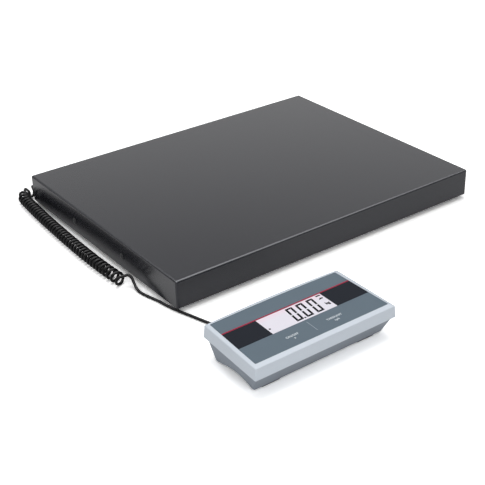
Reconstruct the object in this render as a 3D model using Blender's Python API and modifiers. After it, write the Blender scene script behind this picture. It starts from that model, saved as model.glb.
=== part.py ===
"""Platform shipping scale with a separate indicator on a curly cord.

A folded steel cover rests on four rubber cushions on a pressed spider frame. The spider stands on
a single-point load cell that is bolted to a shallow base pan on four levelling feet. The
indicator stands on the floor in front of the platform. Metres, +Z up, origin on the floor under
the middle of the whole object without its cord.
"""
import math

import bmesh
import bpy
from mathutils import Vector

# Platform: driving dimensions
PLATFORM_LENGTH = 0.520
PLATFORM_WIDTH = 0.400
PLATFORM_TOP = 0.047
SKIRT_BOTTOM = 0.007
SHEET = 0.002
COVER_BEND = 0.004
PLUG_SPACING = 0.132
PLUG_HEIGHT = 0.024
PLUG_RADIUS = 0.0036
PLUG_HEAD = 0.0010
NOTCH_WIDTH = 0.018

# Weighing mechanism
PAN_LENGTH = 0.500
PAN_WIDTH = 0.380
PAN_BOTTOM = 0.009
PAN_RIM = 0.024
PAN_BEND = 0.006
CELL_LENGTH = 0.150
CELL_WIDTH = 0.040
CELL_HEIGHT = 0.022
CELL_BORE_RADIUS = 0.0085
CELL_BORE_X = 0.014
CELL_SLOT = 0.008
SPACER_LENGTH = 0.044
SPACER_THICKNESS = 0.003
SPIDER_ARM_X = 0.180
SPIDER_ARM_WIDTH = 0.050
SPIDER_LENGTH_Y = 0.330
SPIDER_BAR_WIDTH = 0.090
SPIDER_FLANGE = 0.010
SPIDER_BEND = 0.004
CUSHION_Y = 0.140
CUSHION_RADIUS = 0.012
STOP_Y = 0.105
STOP_RADIUS = 0.0040
STOP_NUT_RADIUS = 0.0072
STOP_NUT_HEIGHT = 0.0065
STOP_TRAVEL = 0.0012
RIB_Y = 0.105
RIB_LENGTH = 0.290
RIB_WIDTH = 0.034
RIB_DEPTH = 0.011
RIB_SHEET = 0.0015
RIB_BEND = 0.003

# Levelling feet
FOOT_X = 0.215
FOOT_Y = 0.155
FOOT_PAD_RADIUS = 0.018
FOOT_PAD_HEIGHT = 0.0055
STUD_RADIUS = 0.0039
STUD_TOP = 0.024
STUD_CHAMFER = 0.0008
COLLAR_RADIUS = 0.0082
COLLAR_GAP = 0.0008
THREAD_GAP = 0.0004
BUSH_RADIUS = 0.009
BUSH_TOP = 0.0185

# Indicator: place on the floor, measured from the platform's middle, then its own sizes
INDICATOR_X = -0.1845
INDICATOR_Y = -0.3524
DISPLAY_TILT = math.radians(1.4)
DISPLAY_HEIGHT = 0.0448
OVERLAY_FRONT = -0.0448
OVERLAY_BACK = 0.0487
OVERLAY_FRONT_WIDTH = 0.1992
OVERLAY_BACK_WIDTH = 0.1916
OVERLAY_THICKNESS = 0.0007
OVERLAY_SINK = 0.0003
RIM_FRONT = -0.0521
RIM_BACK = 0.0521
RIM_FRONT_WIDTH = 0.2098
RIM_BACK_WIDTH = 0.2036
RIM_DROP = 0.0014
BEZEL_WALL = 0.0160
BEZEL_FLARE = 0.0012
HOUSING_WALL = 0.0025
BASE_INSET = 0.0028
BASE_FLOOR_WIDTH = 0.1948
BASE_FLOOR_FRONT = -0.0375
BASE_FLOOR_BACK = 0.0378
BASE_STRIP = 0.0050
BASE_CLEARANCE = 0.0010
BASE_EDGE = 0.0025
ARCH_RISE = 0.0075
ARCH_STEPS = 12
WINDOW_WIDTH = 0.1000
WINDOW_DEPTH = 0.0340
WINDOW_Y = 0.0058
KEY_WIDTH = 0.0440
KEY_DEPTH = 0.0220
KEY_X = 0.0318
KEY_Y = -0.0285
KEY_TRAVEL = 0.0004
STEM_RADIUS = 0.0040
STEM_LENGTH = 0.0046
SWITCH_SIZE = 0.012
SWITCH_BUTTON_RADIUS = 0.0034
SWITCH_BUTTON_HEIGHT = 0.0016
LCD_THICKNESS = 0.0022
BACKLIGHT_THICKNESS = 0.0050
LCD_BORDER = 0.0045
BOARD_SIZE = (0.180, 0.076, 0.0016)
BOARD_DROP = 0.0135
DOOR_WIDTH = 0.1130
DOOR_FRONT = -0.0240
DOOR_BACK = 0.0180
FOOT_STRIP_LENGTH = 0.026
FOOT_STRIP_X = 0.072
BATTERY_RADIUS = 0.0070
BATTERY_LENGTH = 0.0500
BATTERY_NUB_RADIUS = 0.0027
BATTERY_NUB_HEIGHT = 0.0013
BATTERY_GAP = 0.0016
HOLDER_LOW = 0.0125
HOLDER_TOP = 0.0292
HOLDER_WALL = 0.0015
BOOT_X = -0.045
BOOT_HEIGHT = 0.0140
BOOT_LENGTH = 0.0150
BOOT_HOLE_RADIUS = 0.0042
BOOT_COLLAR_RADIUS = 0.0062
BOOT_COLLAR_HEIGHT = 0.0024
BOOT_RINGS = 4
JACK_X = 0.055
JACK_HEIGHT = 0.0160
JACK_RADIUS = 0.0049
JACK_BORE_RADIUS = 0.0021
JACK_DEPTH = 0.0120
JACK_BORE_DEPTH = 0.0095

# Cord: round flex, wound into curls between two short leads
CORD_DIAMETER = 0.0040
CURL_DIAMETER = 0.0185
CURLS = 41
CURL_POINTS = 9
CURL_PITCH = 0.0080
LOOSE_CURLS = 1.8
LOOSE_PITCH = 0.0075
GLAND_X = -0.200
GLAND_HEIGHT = 0.016
GLAND_LENGTH = 0.0200
GLAND_INSIDE = 0.0040
GLAND_RADIUS = 0.0050
GLAND_FLANGE_RADIUS = 0.0072
GLAND_FLANGE_BACK = 0.0155
GLAND_FLANGE_FRONT = 0.0105
FIT_GAP = 0.0003

# The object's box without the cord runs from the indicator's front left to the platform's back right
BOX_LEFT = INDICATOR_X - RIM_FRONT_WIDTH / 2 - BEZEL_FLARE
BOX_FRONT = INDICATOR_Y + RIM_FRONT - BEZEL_FLARE
PLATFORM_X = -(BOX_LEFT + PLATFORM_LENGTH / 2) / 2
PLATFORM_Y = -(BOX_FRONT + PLATFORM_WIDTH / 2) / 2

# Lead from the gland down to the floor behind the platform, up to the first curl
PLATFORM_LEAD_ROUTE = [
    (-0.2012, 0.2155, 0.0138), (-0.2080, 0.2192, 0.0096), (-0.2170, 0.2170, 0.0056), (-0.2260, 0.2120, 0.0032),
    (-0.2350, 0.2094, 0.0024),
]

# Middle line of the curls on the floor, from behind the platform round its corner and along its left side
COIL_LINE = [
    (-0.2430, 0.2220), (-0.2540, 0.2215), (-0.2640, 0.2185), (-0.2705, 0.2115), (-0.2735, 0.2010),
    (-0.2755, 0.1780), (-0.2785, 0.1400), (-0.2815, 0.0800), (-0.2835, 0.0150), (-0.2835, -0.0450),
    (-0.2810, -0.1000),
]

# Lead from the last curl down to the floor and along it to the indicator's back
LEAD_ROUTE = [
    (-0.2702, -0.1060, 0.0138), (-0.2705, -0.1120, 0.0085), (-0.2715, -0.1195, 0.0040),
    (-0.2715, -0.1300, 0.0023), (-0.2690, -0.1430, 0.0022), (-0.2648, -0.1600, 0.0022),
    (-0.2615, -0.1790, 0.0022), (-0.2568, -0.1985, 0.0022), (-0.2505, -0.2190, 0.0022),
    (-0.2425, -0.2450, 0.0022), (-0.2345, -0.2680, 0.0024),
]

# Scene, collections and materials

for old in list(bpy.data.objects):
    bpy.data.objects.remove(old, do_unlink=True)
parts = bpy.data.collections.new("platform_shipping_scale")
cutters = bpy.data.collections.new("cutters")
for collection in (parts, cutters):
    bpy.context.scene.collection.children.link(collection)


def material(name, colour, roughness, metallic=0.0):
    """A Principled material of one colour."""
    made = bpy.data.materials.new(name)
    made.use_nodes = True
    shader = made.node_tree.nodes["Principled BSDF"]
    shader.inputs["Base Color"].default_value = (*colour, 1.0)
    shader.inputs["Roughness"].default_value = roughness
    shader.inputs["Metallic"].default_value = metallic
    return made


CHARCOAL_PAINT = material("charcoal_paint", (0.115, 0.117, 0.124), 0.42)
BLACK_PAINT = material("black_paint", (0.030, 0.030, 0.032), 0.55)
ZINC_STEEL = material("zinc_steel", (0.62, 0.63, 0.64), 0.35, 1.0)
ALUMINIUM = material("aluminium", (0.78, 0.79, 0.80), 0.32, 1.0)
BLACK_RUBBER = material("black_rubber", (0.022, 0.022, 0.023), 0.75)
BLACK_FLEX = material("black_flex", (0.018, 0.018, 0.020), 0.45)
BLACK_NYLON = material("black_nylon", (0.025, 0.025, 0.027), 0.50)
LIGHT_GREY_ABS = material("light_grey_abs", (0.56, 0.60, 0.64), 0.45)
MID_GREY_ABS = material("mid_grey_abs", (0.16, 0.18, 0.19), 0.50)
SLATE_FILM = material("slate_film", (0.150, 0.188, 0.215), 0.40)
CLEAR_ACRYLIC = material("clear_acrylic", (0.86, 0.84, 0.90), 0.10)
LCD_GLASS = material("lcd_glass", (0.80, 0.80, 0.86), 0.15)
WHITE_DIFFUSER = material("white_diffuser", (0.85, 0.85, 0.88), 0.60)
GREEN_BOARD = material("green_board", (0.02, 0.16, 0.07), 0.45)
BATTERY_SLEEVE = material("battery_sleeve", (0.10, 0.11, 0.13), 0.35)


def empty(name, location, parent=None, tilt=0.0):
    """A frame that pieces are placed in."""
    made = bpy.data.objects.new(name, None)
    made.location = location
    made.rotation_euler = (tilt, 0.0, 0.0)
    made.parent = parent
    parts.objects.link(made)
    return made


platform = empty("platform", (PLATFORM_X, PLATFORM_Y, 0.0))
indicator = empty("indicator", (PLATFORM_X + INDICATOR_X, PLATFORM_Y + INDICATOR_Y, 0.0))
display = empty("display", (0.0, 0.0, DISPLAY_HEIGHT), indicator, DISPLAY_TILT)

# Shape helpers


def place(name, data, finish, parent, location=(0, 0, 0), rotation=(0, 0, 0), cutter=False):
    """An object for a mesh or curve, in its parent's frame; a cutter is hidden."""
    made = bpy.data.objects.new(name, data)
    made.parent = parent
    made.location = location
    made.rotation_euler = rotation
    if cutter:
        made.hide_render = True
        made.display_type = "WIRE"
    else:
        data.materials.append(finish)
    (cutters if cutter else parts).objects.link(made)
    return made


def to_mesh(name, shape, smooth=False):
    """A mesh from a bmesh, which is freed."""
    bmesh.ops.recalc_face_normals(shape, faces=shape.faces)
    mesh = bpy.data.meshes.new(name)
    shape.to_mesh(mesh)
    shape.free()
    if smooth:
        mesh.shade_smooth()
        mesh.set_sharp_from_angle(angle=math.radians(40))
    return mesh


def box(name, size, low_z, open_side=None):
    """A box mesh centred in X and Y that stands on low_z; open_side drops its top or bottom."""
    shape = bmesh.new()
    bmesh.ops.create_cube(shape, size=1.0)
    for vert in shape.verts:
        vert.co = (vert.co.x * size[0], vert.co.y * size[1], low_z + (vert.co.z + 0.5) * size[2])
    if open_side:
        sign = 1 if open_side == "top" else -1
        gone = [face for face in shape.faces if face.normal.z * sign > 0.9]
        bmesh.ops.delete(shape, geom=gone, context="FACES_ONLY")
        mesh = bpy.data.meshes.new(name)
        shape.to_mesh(mesh)
        shape.free()
        return mesh
    return to_mesh(name, shape)


def round_bar(name, radius, length, sides=20):
    """A cylinder mesh along Z, centred."""
    shape = bmesh.new()
    bmesh.ops.create_cone(shape, cap_ends=True, segments=sides, radius1=radius, radius2=radius, depth=length)
    return to_mesh(name, shape, smooth=True)


def prism(name, outline, low_z, high_z):
    """A flat outline of (x, y) points raised from low_z to high_z."""
    shape = bmesh.new()
    face = shape.faces.new([shape.verts.new((x, y, low_z)) for x, y in outline])
    raised = bmesh.ops.extrude_face_region(shape, geom=[face])
    for item in raised["geom"]:
        if isinstance(item, bmesh.types.BMVert):
            item.co.z = high_z
    return to_mesh(name, shape)


def turned(name, profile, finish, parent, location, rotation=(0, 0, 0), steps=20, ring=False, cutter=False):
    """A turned piece about its own Z; the (radius, z) profile runs down the outer side."""
    count = len(profile)
    edges = [(i, i + 1) for i in range(count - 1)]
    if ring:
        edges.append((count - 1, 0))
    mesh = bpy.data.meshes.new(name)
    mesh.from_pydata([(radius, 0.0, z) for radius, z in profile], edges, [])
    made = place(name, mesh, finish, parent, location, rotation, cutter)
    screw = made.modifiers.new("turn", "SCREW")
    screw.axis = "Z"
    screw.steps = screw.render_steps = steps
    screw.use_merge_vertices = True
    screw.merge_threshold = 0.00001
    screw.use_smooth_shade = False
    return made


def soften(made, width, segments=2, angle=40):
    """Rounded edges."""
    bevel = made.modifiers.new("soften", "BEVEL")
    bevel.width = width
    bevel.segments = segments
    bevel.limit_method = "ANGLE"
    bevel.angle_limit = math.radians(angle)


def thicken(made, thickness):
    """A wall grown inward from an open surface."""
    wall = made.modifiers.new("wall", "SOLIDIFY")
    wall.thickness = thickness
    wall.offset = -1.0
    wall.use_even_offset = True


def cut(made, cutter, operation="DIFFERENCE"):
    """A Boolean with another object."""
    boolean = made.modifiers.new(operation.lower(), "BOOLEAN")
    boolean.operation = operation
    boolean.object = cutter


def cut_box(made, name, size, centre, parent):
    """A box-shaped opening."""
    cutter = place(name, box(name, size, -size[2] / 2), None, parent, centre, cutter=True)
    cut(made, cutter)


def cut_round(made, name, radius, length, centre, parent, rotation=(0, 0, 0)):
    """A drilled hole."""
    cutter = place(name, round_bar(name, radius, length), None, parent, centre, rotation, cutter=True)
    cut(made, cutter)


def trapezoid(front, back, front_width, back_width, grow=0.0):
    """Four corners of an outline that narrows to the back, counter-clockwise from front left."""
    half_front = front_width / 2 + grow
    half_back = back_width / 2 + grow
    return [
        (-half_front, front - grow), (half_front, front - grow),
        (half_back, back + grow), (-half_back, back + grow),
    ]


def corners(x, y):
    """The four places of a rectangle's corners, front left first."""
    return [(-x, -y), (x, -y), (x, y), (-x, y)]


# Turns that lay a piece along X or Y, and a length that cuts through any wall
LYING_X = (0.0, math.pi / 2, 0.0)
LYING_Y = (math.pi / 2, 0.0, 0.0)
THROUGH = 0.04

# Levelling feet: rubber pads on steel studs that turn in the pan's threaded bushes

for number, (x, y) in enumerate(corners(FOOT_X, FOOT_Y), 1):
    pad = [
        (0.0, FOOT_PAD_HEIGHT), (FOOT_PAD_RADIUS * 0.72, FOOT_PAD_HEIGHT),
        (FOOT_PAD_RADIUS * 0.94, FOOT_PAD_HEIGHT * 0.62), (FOOT_PAD_RADIUS, FOOT_PAD_HEIGHT * 0.30),
        (FOOT_PAD_RADIUS, 0.0), (0.0, 0.0),
    ]
    turned(f"foot_pad_{number}", pad, BLACK_RUBBER, platform, (x, y, 0.0))
    collar_low = FOOT_PAD_HEIGHT + FIT_GAP
    collar_high = PAN_BOTTOM - COLLAR_GAP
    stud = [
        (0.0, STUD_TOP), (STUD_RADIUS - STUD_CHAMFER, STUD_TOP), (STUD_RADIUS, STUD_TOP - STUD_CHAMFER),
        (STUD_RADIUS, collar_high), (COLLAR_RADIUS, collar_high), (COLLAR_RADIUS, collar_low),
        (0.0, collar_low),
    ]
    turned(f"foot_stud_{number}", stud, ZINC_STEEL, platform, (x, y, 0.0), steps=12)

# Base pan: pressed steel tray with upturned walls and four threaded bushes

pan = place("base_pan", box("base_pan", (PAN_LENGTH, PAN_WIDTH, PAN_RIM - PAN_BOTTOM), PAN_BOTTOM, "top"),
            BLACK_PAINT, platform)
soften(pan, PAN_BEND, 2)
thicken(pan, SHEET)
for number, (x, y) in enumerate(corners(FOOT_X, FOOT_Y), 1):
    bush_low = PAN_BOTTOM + SHEET / 2
    bush = [(0.0, BUSH_TOP), (BUSH_RADIUS, BUSH_TOP), (BUSH_RADIUS, bush_low), (0.0, bush_low)]
    cut(pan, turned(f"bush_{number}", bush, None, platform, (x, y, 0.0), cutter=True), "UNION")
    cut_round(pan, f"thread_{number}", STUD_RADIUS + THREAD_GAP, THROUGH, (x, y, BUSH_TOP), platform)
gland_seat = (GLAND_X, PAN_WIDTH / 2, GLAND_HEIGHT)
cut_round(pan, "gland_hole", GLAND_RADIUS + FIT_GAP, 10 * SHEET, gland_seat, platform, LYING_Y)

# Load cell: aluminium bar with a double bore, bolted between the pan and the spider

pan_floor = PAN_BOTTOM + SHEET
cell_low = pan_floor + SPACER_THICKNESS + 2 * FIT_GAP
cell_high = cell_low + CELL_HEIGHT
spacer_x = CELL_LENGTH / 2 - SPACER_LENGTH / 2
spider_under = cell_high + SPACER_THICKNESS + 2 * FIT_GAP
spider_top = spider_under + SHEET

cell_bar = box("load_cell", (CELL_LENGTH, CELL_WIDTH, CELL_HEIGHT), cell_low)
cell = place("load_cell", cell_bar, ALUMINIUM, platform)
soften(cell, 0.0006, 1)
cell_middle = cell_low + CELL_HEIGHT / 2
for side in (-1, 1):
    bore_middle = (side * CELL_BORE_X, 0.0, cell_middle)
    cut_round(cell, f"cell_bore_{side}", CELL_BORE_RADIUS, 2 * CELL_WIDTH, bore_middle, platform, LYING_Y)
cut_box(cell, "cell_slot", (2 * CELL_BORE_X, 2 * CELL_WIDTH, CELL_SLOT), (0.0, 0.0, cell_middle), platform)

for name, side, low in (("lower_spacer", -1, pan_floor + FIT_GAP), ("upper_spacer", 1, cell_high + FIT_GAP)):
    spacer = box(name, (SPACER_LENGTH, CELL_WIDTH, SPACER_THICKNESS), low)
    soften(place(name, spacer, ZINC_STEEL, platform, (side * spacer_x, 0.0, 0.0)), 0.0004, 1)

# Spider: pressed H-shaped frame with a turned-down flange, its bar over the load cell


def spider_outline():
    """The H outline, counter-clockwise: two arms along Y joined by a bar along X."""
    outer = SPIDER_ARM_X + SPIDER_ARM_WIDTH / 2
    inner = SPIDER_ARM_X - SPIDER_ARM_WIDTH / 2
    end = SPIDER_LENGTH_Y / 2
    bar = SPIDER_BAR_WIDTH / 2
    front = [(-outer, -end), (-inner, -end), (-inner, -bar), (inner, -bar), (inner, -end), (outer, -end)]
    return front + [(-x, -y) for x, y in front]


sheet = bmesh.new()
web = sheet.faces.new([sheet.verts.new((x, y, spider_top)) for x, y in spider_outline()])
skirt = bmesh.ops.extrude_edge_only(sheet, edges=list(web.edges))
for item in skirt["geom"]:
    if isinstance(item, bmesh.types.BMVert):
        item.co.z = spider_top - SPIDER_FLANGE
spider = place("spider_frame", to_mesh("spider_frame", sheet), BLACK_PAINT, platform)
soften(spider, SPIDER_BEND, 2)
thicken(spider, SHEET)

for number, (x, y) in enumerate(corners(SPIDER_ARM_X, CUSHION_Y), 1):
    low = spider_top + FIT_GAP
    high = PLATFORM_TOP - SHEET - FIT_GAP
    middle = (low + high) / 2
    disc = [
        (0.0, high), (CUSHION_RADIUS * 0.85, high), (CUSHION_RADIUS, middle), (CUSHION_RADIUS, low), (0.0, low),
    ]
    turned(f"cushion_{number}", disc, BLACK_RUBBER, platform, (x, y, 0.0))

for number, (x, y) in enumerate(corners(SPIDER_ARM_X, STOP_Y), 1):
    low = pan_floor + FIT_GAP
    nut = low + STOP_NUT_HEIGHT
    high = spider_under - STOP_TRAVEL
    stop = [
        (0.0, high), (STOP_RADIUS * 0.8, high), (STOP_RADIUS, high - STOP_RADIUS * 0.2), (STOP_RADIUS, nut),
        (STOP_NUT_RADIUS, nut), (STOP_NUT_RADIUS, low), (0.0, low),
    ]
    turned(f"overload_stop_{number}", stop, ZINC_STEEL, platform, (x, y, 0.0), steps=12)

# Cover: folded sheet with a skirt all round, a cord notch at the back and plugged holes at the left

skirt_height = PLATFORM_TOP - SKIRT_BOTTOM
cover_skin = box("cover", (PLATFORM_LENGTH, PLATFORM_WIDTH, skirt_height), SKIRT_BOTTOM, "bottom")
cover = place("cover", cover_skin, CHARCOAL_PAINT, platform)
soften(cover, COVER_BEND, 3)
thicken(cover, SHEET)
notch_top = GLAND_HEIGHT + NOTCH_WIDTH / 2
notch_middle = (GLAND_X, PLATFORM_WIDTH / 2, notch_top / 2)
cut_box(cover, "cord_notch", (NOTCH_WIDTH, THROUGH, notch_top), notch_middle, platform)
for number, side in enumerate((-1, 1), 1):
    seat = (-PLATFORM_LENGTH / 2, side * PLUG_SPACING / 2, PLUG_HEIGHT)
    cut_round(cover, f"plug_hole_{number}", PLUG_RADIUS, THROUGH, seat, platform, LYING_X)
    stem = PLUG_RADIUS - FIT_GAP
    stem_end = -1.5 * SHEET
    rim = PLUG_RADIUS * 1.35
    plug = [
        (0.0, PLUG_HEAD + FIT_GAP), (PLUG_RADIUS * 0.8, PLUG_HEAD * 0.8 + FIT_GAP),
        (rim, PLUG_HEAD * 0.2 + FIT_GAP), (rim, FIT_GAP), (stem, FIT_GAP), (stem, stem_end), (0.0, stem_end),
    ]
    turned(f"hole_plug_{number}", plug, BLACK_NYLON, platform, seat, (0.0, -math.pi / 2, 0.0), steps=16)

for number, side in enumerate((-1, 1), 1):
    rib_top = PLATFORM_TOP - SHEET - FIT_GAP
    rib_mesh = box(f"cover_rib_{number}", (RIB_LENGTH, RIB_WIDTH, RIB_DEPTH), rib_top - RIB_DEPTH, "top")
    rib = place(f"cover_rib_{number}", rib_mesh, CHARCOAL_PAINT, platform, (0.0, side * RIB_Y, 0.0))
    soften(rib, RIB_BEND, 2)
    thicken(rib, RIB_SHEET)

# Cord gland: nylon bush through the pan's back wall, under the cover's notch

gland_out = PAN_WIDTH / 2 + GLAND_LENGTH - GLAND_INSIDE
gland_mouth = (GLAND_X, gland_out, GLAND_HEIGHT)
gland = [
    (0.0, 0.0), (CORD_DIAMETER * 0.7, 0.0), (GLAND_RADIUS * 0.92, -GLAND_LENGTH / 2),
    (GLAND_FLANGE_RADIUS, -GLAND_FLANGE_FRONT), (GLAND_FLANGE_RADIUS, -GLAND_FLANGE_BACK),
    (GLAND_RADIUS, -GLAND_FLANGE_BACK), (GLAND_RADIUS, -GLAND_LENGTH), (0.0, -GLAND_LENGTH),
]
turned("cord_gland", gland, BLACK_NYLON, platform, gland_mouth, (-math.pi / 2, 0.0, 0.0))

# Routes of the cord and of the cell's cable


def smooth_route(points, spacing):
    """Evenly spaced points on a smooth curve through the given ones."""
    knots = [Vector(point) for point in points]
    padded = [2 * knots[0] - knots[1]] + knots + [2 * knots[-1] - knots[-2]]
    dense = []
    pieces = 24
    for i in range(1, len(padded) - 2):
        p0, p1, p2, p3 = padded[i - 1:i + 3]
        for k in range(pieces):
            t = k / pieces
            dense.append(0.5 * (2 * p1 + (p2 - p0) * t + (2 * p0 - 5 * p1 + 4 * p2 - p3) * t ** 2
                                + (3 * p1 - p0 - 3 * p2 + p3) * t ** 3))
    dense.append(knots[-1])
    lengths = [0.0]
    for a, b in zip(dense, dense[1:]):
        lengths.append(lengths[-1] + (b - a).length)
    count = max(2, round(lengths[-1] / spacing))
    spaced = []
    index = 0
    for k in range(count + 1):
        target = lengths[-1] * k / count
        while index < len(dense) - 2 and lengths[index + 1] < target:
            index += 1
        share = (target - lengths[index]) / (lengths[index + 1] - lengths[index])
        spaced.append(dense[index].lerp(dense[index + 1], share))
    return spaced


def tube(name, points, diameter, finish, resolution):
    """A round cord along a list of points, with closed ends."""
    curve = bpy.data.curves.new(name, "CURVE")
    curve.dimensions = "3D"
    curve.bevel_depth = diameter / 2
    curve.bevel_resolution = resolution
    curve.use_fill_caps = True
    line = curve.splines.new("POLY")
    line.points.add(len(points) - 1)
    for spot, point in zip(line.points, points):
        spot.co = (*point, 1.0)
    return place(name, curve, finish, platform)


def curl_points():
    """Centre line of the curls: a helix on the coil line, looser towards both ends."""
    line = smooth_route([(x, y, 0.0) for x, y in COIL_LINE], 0.002)
    steps = CURLS * CURL_POINTS
    pitches = []
    for i in range(steps):
        turn = i / CURL_POINTS
        loose = math.exp(-turn / LOOSE_CURLS) + math.exp(-(CURLS - turn) / LOOSE_CURLS)
        pitches.append(CURL_PITCH + LOOSE_PITCH * loose)
    whole = sum(pitches)
    radius = (CURL_DIAMETER - CORD_DIAMETER) / 2
    along = 0.0
    points = []
    for i in range(steps + 1):
        spot = along / whole * (len(line) - 1)
        index = min(int(spot), len(line) - 2)
        heading = (line[index + 1] - line[index]).normalized()
        middle = line[index].lerp(line[index + 1], spot - index)
        left = Vector((-heading.y, heading.x, 0.0))
        angle = -math.pi / 2 - 2 * math.pi * (i / CURL_POINTS) * (CURLS + 0.5) / CURLS
        height = CURL_DIAMETER / 2 + FIT_GAP
        offset = left * math.cos(angle) * radius + Vector((0, 0, math.sin(angle) * radius + height))
        points.append(middle + offset)
        along += pitches[i] if i < steps else 0.0
    return points


def level(way):
    """The same direction laid level."""
    return Vector((way.x, way.y, 0.0)).normalized()


def straight_ends(points, length):
    """The same points with a level straight run added at both ends."""
    first = points[0] + level(points[0] - points[1]) * length
    last = points[-1] + level(points[-1] - points[-2]) * length
    return [first] + points + [last]


def least_gap(points, diameter, skip):
    """The smallest free space between two stretches of one cord, measured on its points."""
    best = 1.0
    for i, a in enumerate(points):
        for b in points[i + skip:i + 4 * CURL_POINTS]:
            best = min(best, (a - b).length)
    return best - diameter


curls = straight_ends(curl_points(), CORD_DIAMETER)
tube("curly_cord", curls, CORD_DIAMETER, BLACK_FLEX, 1)
print(f"least gap between curls {least_gap(curls, CORD_DIAMETER, CURL_POINTS // 2) * 1000:.2f} mm")

start = Vector(gland_mouth) + Vector((0.0, FIT_GAP, 0.0))
first_way = (curls[0] - curls[1]).normalized()
curl_start = curls[0] + first_way * FIT_GAP
drop = [start + Vector((0, CORD_DIAMETER, 0)), *PLATFORM_LEAD_ROUTE, curl_start + first_way * CORD_DIAMETER]
tube("platform_lead", [start] + smooth_route(drop, 0.004) + [curl_start], CORD_DIAMETER, BLACK_FLEX, 2)

# Boot: where the cord enters the indicator's slanting back wall, pointing down to the floor

back_top = RIM_BACK + BEZEL_FLARE - BASE_INSET
wall_top = DISPLAY_HEIGHT + back_top * math.sin(DISPLAY_TILT) - RIM_DROP - BEZEL_WALL
wall_lean = math.atan2(back_top - BASE_FLOOR_BACK, wall_top - BASE_CLEARANCE)


def back_wall(height):
    """Depth of the base's back wall at a height over the floor."""
    return BASE_FLOOR_BACK + (height - BASE_CLEARANCE) * math.tan(wall_lean)


boot_seat = Vector((BOOT_X, back_wall(BOOT_HEIGHT), BOOT_HEIGHT))
boot_way = Vector((0.0, math.cos(wall_lean), -math.sin(wall_lean)))
boot_turn = (-math.pi / 2 - wall_lean, 0.0, 0.0)
boot_end = boot_seat + boot_way * BOOT_LENGTH
boot = [(0.0, BOOT_LENGTH), (CORD_DIAMETER * 0.675, BOOT_LENGTH)]
for i in range(BOOT_RINGS):
    top = BOOT_LENGTH * (0.94 - 0.72 * i / BOOT_RINGS)
    width = CORD_DIAMETER * (0.775 + 0.4 * i / BOOT_RINGS)
    boot += [(width, top), (width + 0.0004, top - 0.0020), (width - 0.0003, top - 0.0022)]
boot_neck = BOOT_HOLE_RADIUS - FIT_GAP
boot_inside = -1.8 * HOUSING_WALL
boot += [
    (BOOT_COLLAR_RADIUS, BOOT_COLLAR_HEIGHT), (BOOT_COLLAR_RADIUS, FIT_GAP), (boot_neck, FIT_GAP),
    (boot_neck, boot_inside), (0.0, boot_inside),
]
turned("cord_boot", boot, BLACK_NYLON, indicator, boot_seat, boot_turn)

offset_to_platform = Vector((INDICATOR_X, INDICATOR_Y, 0.0))
last_way = (curls[-1] - curls[-2]).normalized()
curl_end = curls[-1] + last_way * FIT_GAP
boot_mouth = offset_to_platform + boot_end + boot_way * FIT_GAP
lead = [curl_end + last_way * CORD_DIAMETER, *LEAD_ROUTE, boot_mouth + boot_way * CORD_DIAMETER]
tube("indicator_lead", [curl_end] + smooth_route(lead, 0.006) + [boot_mouth], CORD_DIAMETER, BLACK_FLEX, 2)

cable_exit = cell_low + 0.008
cable_rest = pan_floor + 0.0030
cable_end = gland_out - GLAND_LENGTH - FIT_GAP
cable = [
    (-CELL_LENGTH / 2 - FIT_GAP, 0.0, cable_exit), (-0.083, 0.0, cable_exit),
    (-0.104, 0.006, cable_rest + 0.0005), (-0.125, 0.030, cable_rest), (-0.135, 0.075, cable_rest),
    (-0.150, 0.118, cable_rest), (-0.182, 0.140, cable_rest), (-0.197, 0.160, GLAND_HEIGHT - 0.0012),
    (GLAND_X, 0.172, GLAND_HEIGHT - 0.0003), (GLAND_X, cable_end - 0.006, GLAND_HEIGHT),
    (GLAND_X, cable_end, GLAND_HEIGHT),
]
tube("cell_cable", smooth_route(cable, 0.010), CORD_DIAMETER, BLACK_FLEX, 2)

# Indicator base: moulded tray with an arched underside, leaning walls and a battery opening


def plane_height(y):
    """Height of the base's top edge, level with the tilted bezel's lower edge."""
    return DISPLAY_HEIGHT + y * math.tan(DISPLAY_TILT) - RIM_DROP - BEZEL_WALL


def base_profile():
    """Side view of the base as (depth, height), counter-clockwise from the back strip."""
    front_in = BASE_FLOOR_FRONT + BASE_STRIP
    back_in = BASE_FLOOR_BACK - BASE_STRIP
    front_top = RIM_FRONT - BEZEL_FLARE + BASE_INSET
    points = [(BASE_FLOOR_BACK, BASE_CLEARANCE)]
    for i in range(ARCH_STEPS + 1):
        share = i / ARCH_STEPS
        rise = ARCH_RISE * math.sin(math.pi * share ** 1.25) ** 0.8
        points.append((back_in + (front_in - back_in) * share, BASE_CLEARANCE + max(0.0, rise)))
    points.append((BASE_FLOOR_FRONT, BASE_CLEARANCE))
    points.append((front_top, plane_height(front_top)))
    points.append((back_top, plane_height(back_top)))
    return points


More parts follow.
